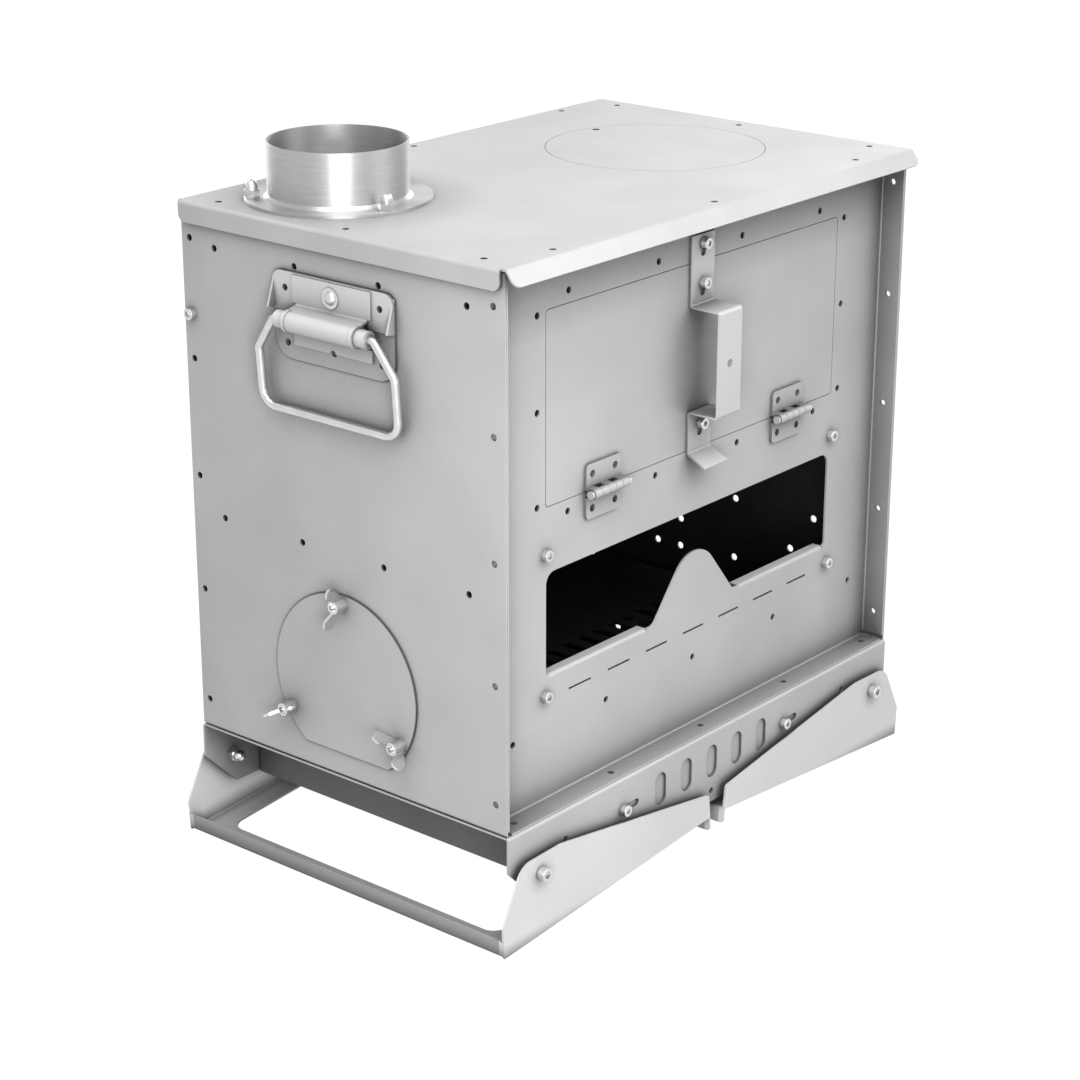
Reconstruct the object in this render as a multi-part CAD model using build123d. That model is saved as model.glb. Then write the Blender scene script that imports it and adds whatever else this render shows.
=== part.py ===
from build123d import *
from math import asin, atan2, cos, degrees, hypot, sin, sqrt
import os

# Folding camp oven in sheet steel: a box with a drop-down oven door over an open fire mouth,
# standing on an air box with a sliding damper and two folding legs.
# Millimetres. +X is right along the front, +Y is to the back, +Z is up.
# The origin is on the ground, under the centre of the body, with the legs folded.

# Sheet metal
sheet = 1.5            # thickness of the folded sheets
bend = 1.2             # inside radius of every fold
fit_gap = 0.2          # between folded sheets that nest in one another
run_gap = 0.3          # between faces that move past one another
pin_gap = 0.08         # radial clearance of a shaft in its hole
rivet_r = 2.5          # rivet holes
notch = 4.0            # square relief at the corners of folded pans

# Body
body_width = 467.0
body_depth = 298.0
body_height = 400.0    # deck to top of lid
recess = 18.6          # front panel, behind the front edges of the side panels
back_flange = 16.0     # inward flanges of the back panel
side_flange = 18.0     # inward flanges of the side panels

# Rivet rows on the body
column_first = 22.4    # lowest hole of the upright columns, above the deck
column_last = 26.4     # highest one, below the top of the lid
column_count = 5
column_front = 9.8     # in from the front edge
column_back = 7.6      # in from the back edge
shelf_hole_count = 4   # rows that hold the oven's floor and roof
shelf_hole_pitch = 77.8
ledge_hole_count = 5   # bottom flange of the front panel
ledge_hole_in = 18.9   # outermost hole, in from the side
low_row_count = 5
low_row_in = 28.3
low_row_down = 40.0    # below the fire mouth

# Oven: its floor and roof are riveted below and above the door's opening
oven_floor_down = 47.2
oven_roof_over = 13.3
oven_flange = 15.0
smoke_gap = 21.0       # between the oven's back wall and the back panel

# Oven door, its opening and the frame behind it
door_down = 43.5       # top of the opening, below the top of the lid
door_height = 138.5
door_width = 341.5
door_gap = 0.5
door_sheet = 1.2
corner_r = 3.0
frame_lip = 8.0        # frame inside the opening
frame_out = 17.0       # frame outside the opening
frame_hole_out = 8.6   # rivets outside the opening
frame_rows = 4
frame_row_pitch = 97.8
frame_columns = 3
frame_column_pitch = 67.0

# Door hinges
hinge_from_side = 123.6
hinge_width = 38.0
hinge_height = 40.0
leaf = 2.0             # leaf thickness
knuckle_r = 3.5
hinge_pin_r = 2.0
pin_head_over = 0.9    # head's radius, beyond the pin's
pin_head = 2.0
knuckle_gap = 1.7      # between leaf and knuckle
knuckle_count = 5
leaf_hole_pitch = 25.0
leaf_hole_r = 2.7
leaf_corner = 3.0
leaf_split = 1.5       # leaf edge, away from the axis

# Latch bar that slides on the door
latch_width = 27.0
catch_over = 13.0      # catch screw, above the opening
guide_down = 15.6      # upper guide screw, below the opening's top
guide_rise = 19.2      # lower guide screw, above its bottom
latch_over = 6.5       # bar's top, above the catch screw
latch_under = 1.5      # fold of the lower lip, below the opening
grip_down = 15.9       # grip's top, below the upper guide screw
grip_rise = 10.3       # grip's end, above the lower guide screw
grip_out = 25.4        # grip face, in front of the bar
grip_hole_r = 3.0
lip_out = 16.5         # lower lip, forward
lip_drop = 8.2         # lower lip, down
latch_travel = 6.6

# Fire mouth
mouth_width = 339.5
mouth_height = 75.9
mouth_down = 47.6      # below the door's opening
mouth_corner = 9.0
mouth_low_corner = 3.0
tongue_width = 97.0    # at its root
tongue_height = 44.0
tongue_crown = 27.0    # radius of its round top
tongue_root = 8.0
lip_depth = 8.0        # mouth's inward lips
lip_root = 5.0         # straight part under their fold
slit_count = 7
slit_length = 25.0
slit_in = 24.95        # end of the outermost slit, in from the mouth's side
slit_down = 17.7       # below the mouth
mouth_screw_out = 1.55   # beyond the mouth's side
mouth_screw_over = 14.1
mouth_screw_under = 14.6

# Lid, hob disc and flue
lid_over = 3.9
lid_over_front = 2.5
lid_over_back = 2.7
lid_flange = 15.0
lid_corner = 6.0
lip_run = 7.9          # front lip, forward
lip_fall = 10.5        # front lip, down
lid_side_hole = 11.0
lid_side_pitch = 122.0
lid_row_pitch = 175.8
lid_front_hole = 8.4
lid_back_hole = 7.0
hob_from_right = 117.6
hob_y = 0.9
hob_r = 83.1
hob_gap = 0.45
hob_ring_over = 10.9   # support ring, outside the disc's edge and inside it
hob_ring_under = 4.6
lifter_hole_r = 3.0
lifter_in = 5.9        # in from the disc's edge
lifter_angle = 74.0
flue_from_left = 75.3
flue_from_back = 80.6
flue_r = 50.0          # 100 mm flue pipe
flue_wall = 1.2
flue_height = 39.2
flue_flange_over = 16.3   # beyond the pipe
flue_flange = 2.0
flue_weld = 2.5
flue_bolt_over = 10.5
flue_bolt_angle = 16.5

# Ash door on the left panel
port_y = -0.4
port_over_deck = 19.0   # cover's flat edge, above the deck
port_under_oven = 29.7  # cover's top, below the oven floor
port_cut = 13.3         # depth of the flat, off the full round
port_rim = 14.7         # cover's overlap round the hole, and along its flat edge
port_flat_rim = 14.4
stud_in = 6.3           # in from the cover's edge
stud_angles = (90.0, -30.0, 210.0)
stud_length = 8.0
stud_head = 2.0

# Wing nuts: boss, and wings whose outline is drawn round two circles
wing_boss = 10.5
wing_boss_r = 5.2
wing_boss_top_r = 4.7
wing_sheet = 2.0
wing_root = (4.5, 5.5, 3.0)      # from the axis, above the foot, radius
wing_tip = (11.6, 13.3, 4.8)
wing_turns = (82.7, 26.7, -39.7)   # degrees below +Y

# Holes for accessories in the right panel: in from its centre, above the deck
spare_hole_r = 3.0
spare_holes = ((0.0, 86.5), (77.8, 86.5), (56.0, 55.9), (56.0, 31.7), (80.0, 31.7), (0.0, 34.7))

# Carry handles
handle_y = 1.3
handle_down = 64.5      # barrel's axis, below the top of the lid
plate_width = 112.0
plate_height = 62.0
plate_corner = 15.0
plate_top_corner = 8.0
plate_hole_r = 2.5
plate_hole_pitch = 43.9
plate_row_pitch = 39.0
cover_low = 3.6         # cover sheet's ears, above the barrel's axis
ear_wall = 7.5          # their side walls: depth, and start under the plate's top
ear_wall_down = 3.0
shield_fold = 9.0       # where the cover's middle slopes out to the barrel
shield_pad = 73.0       # width of the cover's raised middle
shield_raise = 1.0
tail_low = 19.6         # end of the sheet that returns to the plate, below the axis
barrel_out = 12.0
barrel_r = 7.4
barrel_length = 66.0
bead = 0.5              # beads at the barrel's ends
rivet_dome = 5.4        # sphere of the rivet's head, and its height
rivet_head = 3.8
rivet_rim_r = 7.3       # thin rim round it
rivet_rim = 0.8
bush_r = 6.2
bush_length = 9.0
rod_r = 3.0
rod_in_barrel = 12.0
bail_side = 13.5        # bail's neck, beyond the barrel's end
bail_slope = 17.0       # its widest part, beyond the neck
bail_shoulder = 24.0    # its drops
bail_drop = 66.0
bail_neck_r = 5.0
bail_shoulder_r = 5.0
bail_corner_r = 12.0
bail_lean = 4.3         # degrees, in towards the panel

# Screws: radius, head radius, head height, socket across flats
M5 = (2.5, 4.25, 5.0, 4.0)
M6 = (3.0, 5.0, 6.0, 5.0)
head_round = 0.35
socket_share = 0.55     # depth of the socket, of the head's height
screw_length = 12.0
nut5 = (8.0, 4.0)       # across flats, height
nut6 = (10.0, 5.0)
nut_cone = (0.62, 0.52)   # cone that takes off a nut's corners, of its width across flats
acorn_height = 12.0
acorn_dome = 0.46       # radius, of the width across flats
acorn_bore = 0.6        # depth of the thread, of the height
side_screw_down = 81.0

# Base: deck, skirts, air box and damper
skirt_depth = 58.0
skirt_end = 27.0        # upright part of the skirt's ends
skirt_cut = 31.0        # width of the sloped part
wall_in = 54.0          # cross walls, in from the sides
wall_flange = 15.0
wall_hole_drop = 23.5
wall_vent_y = 80.0
wall_vent_drop = 31.8
floor_flange = 15.0
floor_hole_drop = 49.0
deck_window_x = 280.0
deck_window_y = 180.0
vent_count = 5
vent_pitch = 31.3
vent_width = 13.0
vent_height = 26.0
vent_drop = 24.5
damper_height = 33.0
damper_clear = 11.675   # end of its travel, from the cross wall's flange
damper_slot_spacing = 198.5

# Grate
grate_up = 22.0
grate_in = 33.5           # in from the sides
grate_back = 30.4         # in front of the back panel
grate_slots = 17
grate_slot_pitch = 18.8
grate_slot_width = 8.0
grate_clear = 6.0         # behind the front panel
grate_slot_front = 19.0   # behind the grate's front edge
grate_slot_length = 113.5

# Legs: sizes from the pivot
pivot_in = 27.2
pivot_drop = 34.0
spacer = 4.4
spacer_r = 5.5
leg_out = 38.7
leg_low = 51.5
leg_outer_height = 23.5
leg_shoulder_x = -19.5
leg_shoulder_z = 12.4
leg_shoulder_r = 16.0
leg_ridge_x = 22.8
leg_ridge_z = 13.6
leg_tip_in = 2.2
leg_tip_z = -13.0
leg_gap = 8.5             # from its end to the middle of the body
plate_rise = 19.5
leg_lip = 12.3
foot_depth = 12.0
leg_window_edge = 23.8    # cut-out, in from the arms, the outer edge and the foot
leg_window_outer = 19.2
leg_window_inner = 35.0
leg_window_corner = 12.0

# Places that follow
deck_z = pivot_drop + leg_low
lid_z = deck_z + body_height
side_x = body_width / 2
front_y = -body_depth / 2
back_y = body_depth / 2
panel_y = front_y + recess                 # outer face of the front panel
panel_back_y = panel_y + sheet
skirt_y = front_y - sheet
door_up = body_height - door_down - door_height   # bottom of the opening, above the deck
door_top_up = door_up + door_height
hinge_y = panel_y - leaf - knuckle_r - knuckle_gap
hinge_z = deck_z + door_up
oven_floor_up = door_up - oven_floor_down
port_height = oven_floor_up - port_under_oven - port_over_deck
port_cover_r = (port_height + port_cut) / 2
port_cover_flat = port_cover_r - port_cut  # flat edge, below the centre
port_up = port_over_deck + port_cover_flat
oven_roof_up = door_top_up + oven_roof_over
catch_up = door_top_up + catch_over
guide_ups = (door_top_up - guide_down, door_up + guide_rise)
mouth_top = door_up - mouth_down
mouth_low = mouth_top - mouth_height
low_row_up = mouth_low - low_row_down
side_screw_up = body_height - side_screw_down
latch_y = panel_y - run_gap                # back of the latch bar
under_lid = lid_z - sheet
hob_x = side_x - hob_from_right
flue_x = flue_from_left - side_x
flue_y = back_y - flue_from_back
arm_y = skirt_y - spacer - run_gap         # inner face of the front leg arms
leg_reach = side_x - pivot_in - leg_gap
leg_pitch = atan2(plate_rise, leg_reach + leg_out)
bail_neck = barrel_length / 2 + bail_side


# Helpers

def front_plane(y):
    """Upright plane across the body, drawn in X and Z, that looks to the front."""
    return Plane(origin=(0, y, 0), x_dir=(1, 0, 0), z_dir=(0, -1, 0))


def side_plane(x):
    """Upright plane along the body, drawn in Y and Z, that looks to the right."""
    return Plane(origin=(x, 0, 0), x_dir=(0, 1, 0), z_dir=(1, 0, 0))


def level_plane(z):
    """Level plane, drawn in X and Y, that looks up."""
    return Plane(origin=(0, 0, z), x_dir=(1, 0, 0), z_dir=(0, 0, 1))


def block(x0, x1, y0, y1, z0, z1):
    """Box between two corners."""
    return Pos((x0 + x1) / 2, (y0 + y1) / 2, (z0 + z1) / 2) * Box(x1 - x0, y1 - y0, z1 - z0)


def centred_row(count, pitch):
    """Places of a row of features about zero."""
    return [pitch * (i - (count - 1) / 2) for i in range(count)]


def row_between(count, end):
    """Places of a row of features from -end to end."""
    return centred_row(count, 2 * end / (count - 1))


def cutter(plane, shape, spots, reach=2 * sheet):
    """One copy of a flat shape at each spot, made deep both ways through a sheet."""
    return extrude(plane * (Sketch() + [Pos(u, v) * shape for u, v in spots]), reach, both=True)


def folded(path, plane, width, thickness=sheet):
    """Bent sheet: the fold line of its middle layer, and its width to both sides of the plane."""
    middle = FilletPolyline(*path, radius=bend + thickness / 2)
    return extrude(plane * trace(middle, thickness), width / 2, both=True)


def pan(length, width, depth):
    """Folded tray: a plate under Z = 0 with four flanges down, and relief notches at its corners."""
    shell = Pos(0, 0, -depth / 2) * Box(length, width, depth)
    shell -= Pos(0, 0, -sheet - depth / 2) * Box(length - 2 * sheet, width - 2 * sheet, depth)
    tops = shell.faces().filter_by(Axis.Z).sort_by(Axis.Z)
    shell = fillet(tops[-1].edges(), bend + sheet)
    inner = shell.faces().filter_by(Axis.Z).sort_by(Axis.Z)[-2]
    shell = fillet(inner.edges(), bend)
    for corner_x in (-length / 2, length / 2):
        for corner_y in (-width / 2, width / 2):
            shell -= Pos(corner_x, corner_y, -depth / 2) * Box(2 * notch, 2 * notch, 2 * depth)
    return shell


def cap_screw(size, length):
    """Socket head screw: head above Z = 0, shank below."""
    shank_r, head_r, head, key = size
    body = Pos(0, 0, head / 2) * Cylinder(head_r, head)
    body = fillet(body.edges().group_by(Axis.Z)[-1], head_round)
    socket = extrude(Pos(0, 0, head) * RegularPolygon(key / sqrt(3), 6), -head * socket_share)
    return body + Pos(0, 0, -length / 2) * Cylinder(shank_r, length) - socket


def hex_nut(size, bore_r):
    """Nut above Z = 0, with chamfered corners."""
    flats, height = size
    prism = extrude(RegularPolygon(flats / sqrt(3), 6), height)
    dome = Pos(0, 0, height / 2) * Cone(flats * nut_cone[0], flats * nut_cone[1], height)
    return (prism & dome) - Pos(0, 0, height / 2) * Cylinder(bore_r, height)


def acorn_nut(size, height, bore_r):
    """Cap nut above Z = 0: a hexagon under a closed dome."""
    flats, hexagon = size
    dome_r = flats * acorn_dome
    bore = height * acorn_bore
    body = extrude(RegularPolygon(flats / sqrt(3), 6), hexagon)
    body += Pos(0, 0, (hexagon + height - dome_r) / 2) * Cylinder(dome_r, height - dome_r - hexagon)
    body += Pos(0, 0, height - dome_r) * Sphere(dome_r)
    return body - Pos(0, 0, bore / 2) * Cylinder(bore_r, bore)


def facing(x, y, z, direction):
    """Place whose Z axis points in the given direction."""
    return Plane(origin=(x, y, z), z_dir=direction).location


FORWARD = (0, -1, 0)
BACKWARD = (0, 1, 0)
LEFT = (-1, 0, 0)
RIGHT = (1, 0, 0)
DOWN = (0, 0, -1)


# Hole patterns that two or more pieces share

def column_holes(back_edge=True, front_edge=True):
    """Rivets of the upright columns, in Y and Z."""
    pitch = (body_height - column_first - column_last) / (column_count - 1)
    heights = [deck_z + column_first + i * pitch for i in range(column_count)]
    rows = []
    if front_edge:
        rows += [(front_y + column_front, z) for z in heights]
    if back_edge:
        rows += [(back_y - column_back, z) for z in heights]
    return rows


def shelf_holes(up):
    """Row of rivets along a side panel, in Y and Z."""
    return [(y, deck_z + up) for y in centred_row(shelf_hole_count, shelf_hole_pitch)]


def frame_holes():
    """Rivets round the door's opening, in X and Z."""
    low = deck_z + door_up - frame_hole_out
    high = deck_z + door_top_up + frame_hole_out
    middle = deck_z + door_up + door_height / 2
    spots = [(x, z) for x in centred_row(frame_rows, frame_row_pitch) for z in (low, high)]
    side = door_width / 2 + frame_hole_out
    spots += [(x, middle + z) for x in (-side, side) for z in centred_row(frame_columns, frame_column_pitch)]
    return spots


def leaf_holes(above, below):
    """Holes of both hinges, in X and Z: above the axis, below it, or both."""
    sides = [1] * above + [-1] * below
    half = leaf_hole_pitch / 2
    centres = [-side_x + hinge_from_side, side_x - hinge_from_side]
    return [(c + u, hinge_z + s * half) for c in centres for u in (-half, half) for s in sides]


def low_row_spots():
    return [(x, deck_z + low_row_up) for x in row_between(low_row_count, side_x - low_row_in)]


def ledge_spots():
    return [(x, front_y + column_front) for x in row_between(ledge_hole_count, side_x - ledge_hole_in)]


def mouth_screw_spots():
    x = mouth_width / 2 + mouth_screw_out
    heights = (deck_z + mouth_top + mouth_screw_over, deck_z + mouth_low - mouth_screw_under)
    return [(side * x, z) for side in (-1, 1) for z in heights]


def stud_spots():
    """Studs of the ash door, in Y and Z."""
    centre_z = deck_z + port_up
    turns = [Vector(port_cover_r - stud_in, 0).rotate(Axis.Z, a) for a in stud_angles]
    return [(port_y + t.X, centre_z + t.Y) for t in turns]


def flue_bolt_spots():
    start = Vector(flue_r + flue_bolt_over, 0)
    turns = [start.rotate(Axis.Z, flue_bolt_angle + 120 * i) for i in range(3)]
    return [(flue_x + t.X, flue_y + t.Y) for t in turns]


def lid_front_spots():
    return [(x, front_y + lid_front_hole) for x in centred_row(3, lid_row_pitch)]


def lid_back_spots():
    return [(x, back_y - lid_back_hole) for x in centred_row(3, lid_row_pitch)]


def lid_side_spots(side):
    return [(side * (side_x - lid_side_hole), y) for y in centred_row(3, lid_side_pitch)]


# Body panels

def side_panel(side):
    """Flat side with a flange in along the deck and one under the lid; side is -1 left, 1 right."""
    middle = side * (side_x - sheet / 2)
    inner = side * (side_x - side_flange)
    low = deck_z + sheet / 2
    high = under_lid - sheet / 2
    path = [(inner, low), (middle, low), (middle, high), (inner, high)]
    panel = folded(path, front_plane(0), body_depth)
    x0, x1 = sorted((inner - side, side * (side_x - sheet)))
    for y0, y1 in ((front_y, panel_back_y + fit_gap), (back_y - back_flange - fit_gap, back_y)):
        panel -= block(x0, x1, y0, y1, deck_z, under_lid)
    plane = side_plane(side * side_x)
    holes = column_holes() + shelf_holes(oven_floor_up) + shelf_holes(oven_roof_up)
    panel -= cutter(plane, Circle(rivet_r), holes)
    panel -= cutter(plane, Circle(plate_hole_r), handle_holes())
    panel -= cutter(level_plane(under_lid), Circle(rivet_r), lid_side_spots(side))
    return panel


def port_outline(radius, flat):
    """Round outline with a flat lower edge, about the ash door's centre."""
    wide = 2 * radius
    return Circle(radius) - Pos(0, -flat - radius) * Rectangle(2 * wide, wide)


def left_panel():
    panel = side_panel(-1)
    plane = side_plane(-side_x)
    centre = (port_y, deck_z + port_up)
    hole = port_outline(port_cover_r - port_rim, port_cover_flat - port_flat_rim)
    panel -= cutter(plane, hole, [centre])
    panel -= cutter(plane, Circle(M6[0]), stud_spots())
    side_screw = (back_y - column_back, deck_z + side_screw_up)
    return panel - cutter(plane, Circle(M5[0]), [side_screw])


def right_panel():
    spots = {(side * y, deck_z + up) for y, up in spare_holes for side in (-1, 1)}
    return side_panel(1) - cutter(side_plane(side_x), Circle(spare_hole_r), sorted(spots))


def mouth_outline():
    """Fire mouth with a round tongue that stands up from its lower edge."""
    low = deck_z + mouth_low
    high = deck_z + mouth_top
    half = mouth_width / 2
    centre = low + tongue_height - tongue_crown
    rise = centre - low
    reach = hypot(tongue_width / 2, rise)
    lean = atan2(rise, tongue_width / 2) + asin(tongue_crown / reach) - asin(1)
    side = (tongue_crown * cos(lean), centre - tongue_crown * sin(lean))
    edge = Polyline((-tongue_width / 2, low), (-half, low), (-half, high), (half, high), (half, low),
                    (tongue_width / 2, low), side)
    crown = ThreePointArc(side, (0, low + tongue_height), (-side[0], side[1]))
    close = Line((-side[0], side[1]), (-tongue_width / 2, low))
    outline = make_face([*edge.edges(), crown, close])
    corners = outline.vertices()
    outline = fillet(corners.filter_by(lambda v: v.Y > high - 1), mouth_corner)
    corners = outline.vertices()
    outline = fillet(corners.filter_by(lambda v: v.Y < low + 1 and abs(v.X) > half - 1), mouth_low_corner)
    corners = outline.vertices()
    return fillet(corners.filter_by(lambda v: v.Y < low + 1 and abs(v.X) < tongue_width), tongue_root)


def lip_span():
    """Inner and outer end of a mouth lip, from the centre."""
    return tongue_width / 2 + tongue_root, mouth_width / 2 - mouth_low_corner


def mouth_lip(side):
    """Lip folded in along one half of the mouth's lower edge."""
    inner, outer = lip_span()
    low = deck_z + mouth_low
    middle = panel_y + sheet / 2
    path = [(middle, low - lip_root), (middle, low - sheet / 2), (middle + lip_depth, low - sheet / 2)]
    return folded(path, side_plane(side * (inner + outer) / 2), outer - inner)


def front_panel():
    height = body_height - sheet
    width = body_width - 2 * sheet - 2 * fit_gap
    tray = Rot(-90, 0, 0) * pan(width, height, recess + sheet)
    panel = Pos(0, panel_back_y, deck_z + height / 2) * tray
    plane = front_plane(panel_y)
    door = RectangleRounded(door_width, door_height, corner_r)
    panel -= cutter(plane, door, [(0, deck_z + door_up + door_height / 2)])
    panel -= extrude(plane * mouth_outline(), 2 * sheet, both=True)
    inner, outer = lip_span()
    low = deck_z + mouth_low
    for x0, x1 in ((-outer, -inner), (inner, outer)):
        panel -= block(x0, x1, panel_y - 1, panel_back_y + 1, low - lip_root, low + 1)
    panel += [mouth_lip(-1), mouth_lip(1)]
    panel -= cutter(plane, Circle(rivet_r), frame_holes() + low_row_spots())
    slit_end = (mouth_width - slit_length) / 2 - slit_in
    slits = [(x, low - slit_down) for x in row_between(slit_count, slit_end)]
    panel -= cutter(plane, Rectangle(slit_length, sheet), slits)
    panel -= cutter(plane, Circle(leaf_hole_r), leaf_holes(0, 1))
    bolts = mouth_screw_spots() + [(0, deck_z + catch_up)]
    panel -= cutter(plane, Circle(M5[0]), bolts)
    ends = column_holes(back_edge=False)
    for x in (-side_x, side_x):
        panel -= cutter(side_plane(x), Circle(rivet_r), ends, 3 * sheet)
    panel -= cutter(level_plane(under_lid), Circle(rivet_r), lid_front_spots())
    return panel - cutter(level_plane(deck_z), Circle(rivet_r), ledge_spots())


def back_panel():
    height = body_height - sheet
    width = body_width - 2 * sheet - 2 * fit_gap
    tray = Rot(-90, 0, 0) * pan(width, height, back_flange)
    panel = Pos(0, back_y, deck_z + height / 2) * tray
    ends = column_holes(front_edge=False)
    for x in (-side_x, side_x):
        panel -= cutter(side_plane(x), Circle(rivet_r), ends, 3 * sheet)
    side_screw = (back_y - column_back, deck_z + side_screw_up)
    panel -= cutter(side_plane(-side_x), Circle(M5[0]), [side_screw], 3 * sheet)
    panel -= cutter(front_plane(back_y), Circle(rivet_r), low_row_spots())
    return panel - cutter(level_plane(under_lid), Circle(rivet_r), lid_back_spots())


# Inside of the body

def inner_width():
    return body_width - 2 * sheet - 2 * fit_gap


def oven_shelf(front):
    """Oven floor or roof: a plate with its flanges down, open along its front edge."""
    back = back_y - sheet - smoke_gap
    shelf = pan(inner_width(), back - front + notch + bend, oven_flange)
    shelf = Pos(0, (back + front - notch - bend) / 2, 0) * shelf
    return shelf - block(-side_x, side_x, front - 2 * notch, front, -body_height, sheet)


def oven_floor():
    shelf = Pos(0, 0, deck_z + oven_floor_up + oven_flange / 2) * oven_shelf(panel_back_y + fit_gap)
    for x in (-side_x, side_x):
        shelf -= cutter(side_plane(x), Circle(rivet_r), shelf_holes(oven_floor_up), 3 * sheet)
    return shelf


def oven_roof():
    front = panel_back_y + sheet + fit_gap
    shelf = Pos(0, 0, deck_z + oven_roof_up - oven_flange / 2) * mirror(oven_shelf(front), Plane.XY)
    for x in (-side_x, side_x):
        shelf -= cutter(side_plane(x), Circle(rivet_r), shelf_holes(oven_roof_up), 3 * sheet)
    return shelf


def oven_back():
    """Back wall of the oven, folded forward over the floor and under the roof."""
    y = back_y - 1.5 * sheet - smoke_gap
    low = deck_z + oven_floor_up + oven_flange / 2 + sheet / 2
    high = deck_z + oven_roof_up - oven_flange / 2 - sheet / 2
    path = [(y - oven_flange, low), (y, low), (y, high), (y - oven_flange, high)]
    return folded(path, side_plane(0), inner_width())


def door_frame():
    """Flat frame behind the front panel; the closed door rests against it."""
    plane = front_plane(panel_back_y + sheet)
    middle = (0, deck_z + door_up + door_height / 2)
    outer = RectangleRounded(door_width + 2 * frame_out, door_height + 2 * frame_out, corner_r)
    inner = RectangleRounded(door_width - 2 * frame_lip, door_height - 2 * frame_lip, corner_r)
    frame = extrude(plane * (Pos(*middle) * (outer - inner)), sheet)
    frame -= cutter(plane, Circle(rivet_r), frame_holes())
    frame -= cutter(plane, Circle(leaf_hole_r), leaf_holes(0, 1))
    return frame - cutter(plane, Circle(M5[0]), [(0, deck_z + catch_up)])


# Screws of the body

def catch_screw():
    """Screw whose head stands off the panel by the latch bar and its clearances."""
    stand_off = sheet + 2 * run_gap
    spot = facing(0, panel_y - stand_off, deck_z + catch_up, FORWARD)
    return spot * cap_screw(M5, screw_length + stand_off)


def catch_nut():
    return facing(0, panel_back_y + sheet, deck_z + catch_up, BACKWARD) * hex_nut(nut5, M5[0])


def mouth_screws():
    spots = [facing(x, panel_y, z, FORWARD) for x, z in mouth_screw_spots()]
    return Compound(children=[spot * cap_screw(M5, screw_length) for spot in spots])


def mouth_nuts():
    spots = [facing(x, panel_back_y, z, BACKWARD) for x, z in mouth_screw_spots()]
    return Compound(children=[spot * hex_nut(nut5, M5[0]) for spot in spots])


def side_screw():
    spot = facing(-side_x, back_y - column_back, deck_z + side_screw_up, LEFT)
    return spot * cap_screw(M5, screw_length)


def side_nut():
    x = -side_x + 2 * sheet + fit_gap
    return facing(x, back_y - column_back, deck_z + side_screw_up, RIGHT) * hex_nut(nut5, M5[0])


# Lid, hob and flue

def lid():
    """Lid with three flanges down and a sloped lip along the front."""
    front = front_y - lid_over_front
    back = back_y + lid_over_back
    spare = 3 * lid_flange
    plate = pan(body_width + 2 * lid_over, back - front + spare, lid_flange)
    plate = Pos(0, (back + front - spare) / 2, lid_z) * plate
    start = front + notch
    plate -= block(-body_width, body_width, front - 2 * spare, start, deck_z, lid_z + sheet)
    corners = plate.edges().group_by(Axis.Z)[0].filter_by(lambda e: e.length < 1.1 * sheet)
    plate = fillet(corners, lid_corner)
    middle = lid_z - sheet / 2
    path = [(start, middle), (front, middle), (front - lip_run, middle - lip_fall)]
    lip = folded(path, side_plane(0), body_width + 2 * lid_over - notch)
    tip = lip.faces().sort_by(Axis.Z)[0]
    corners = tip.edges().filter_by(lambda e: e.length < 1.1 * sheet)
    lip = fillet(corners, lid_corner)
    plate += lip
    plane = level_plane(lid_z)
    holes = lid_front_spots() + lid_back_spots() + lid_side_spots(-1) + lid_side_spots(1)
    plate -= cutter(plane, Circle(rivet_r), holes)
    plate -= cutter(plane, Circle(hob_r + hob_gap), [(hob_x, hob_y)])
    plate -= cutter(plane, Circle(flue_r - flue_wall), [(flue_x, flue_y)])
    return plate - cutter(plane, Circle(M6[0]), flue_bolt_spots())


def hob_disc():
    lifter = Rot(0, 0, lifter_angle) * Pos(hob_r - lifter_in, 0) * Circle(lifter_hole_r)
    return Pos(hob_x, hob_y, under_lid) * extrude(Circle(hob_r) - lifter, sheet)


def hob_support_ring():
    ring = Circle(hob_r + hob_ring_over) - Circle(hob_r - hob_ring_under)
    return Pos(hob_x, hob_y, under_lid) * extrude(ring, -sheet)


def flue_collar():
    """Flue pipe on a round flange, with a small weld bead between them."""
    centre = Pos(flue_x, flue_y, lid_z)
    top = flue_flange + flue_height
    rim = flue_r + flue_flange_over
    profile = Polyline((flue_r - flue_wall, 0), (rim, 0), (rim, flue_flange),
                       (flue_r + flue_weld, flue_flange), (flue_r, flue_flange + flue_weld),
                       (flue_r, top), (flue_r - flue_wall, top), close=True)
    collar = centre * revolve(Plane.XZ * make_face(profile), Axis.Z)
    return collar - cutter(level_plane(lid_z), Circle(M6[0]), flue_bolt_spots())


def flue_screws():
    length = sheet + flue_flange + acorn_height / 2
    spots = [facing(x, y, under_lid, DOWN) for x, y in flue_bolt_spots()]
    return Compound(children=[spot * cap_screw(M6, length) for spot in spots])


def flue_cap_nuts():
    z = lid_z + flue_flange
    nuts = [Pos(x, y, z) * acorn_nut(nut6, acorn_height, M6[0]) for x, y in flue_bolt_spots()]
    return Compound(children=nuts)


# Base

def vent_holes():
    vent = SlotOverall(vent_height, vent_width, rotation=90)
    vents = [Pos(x, deck_z - vent_drop) * vent for x in centred_row(vent_count, vent_pitch)]
    return Sketch() + vents


def damper_travel():
    return vent_pitch / 2


def damper_screw_spots():
    z = deck_z - vent_drop
    return [(x - damper_travel() / 2, z) for x in centred_row(2, damper_slot_spacing)]


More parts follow.
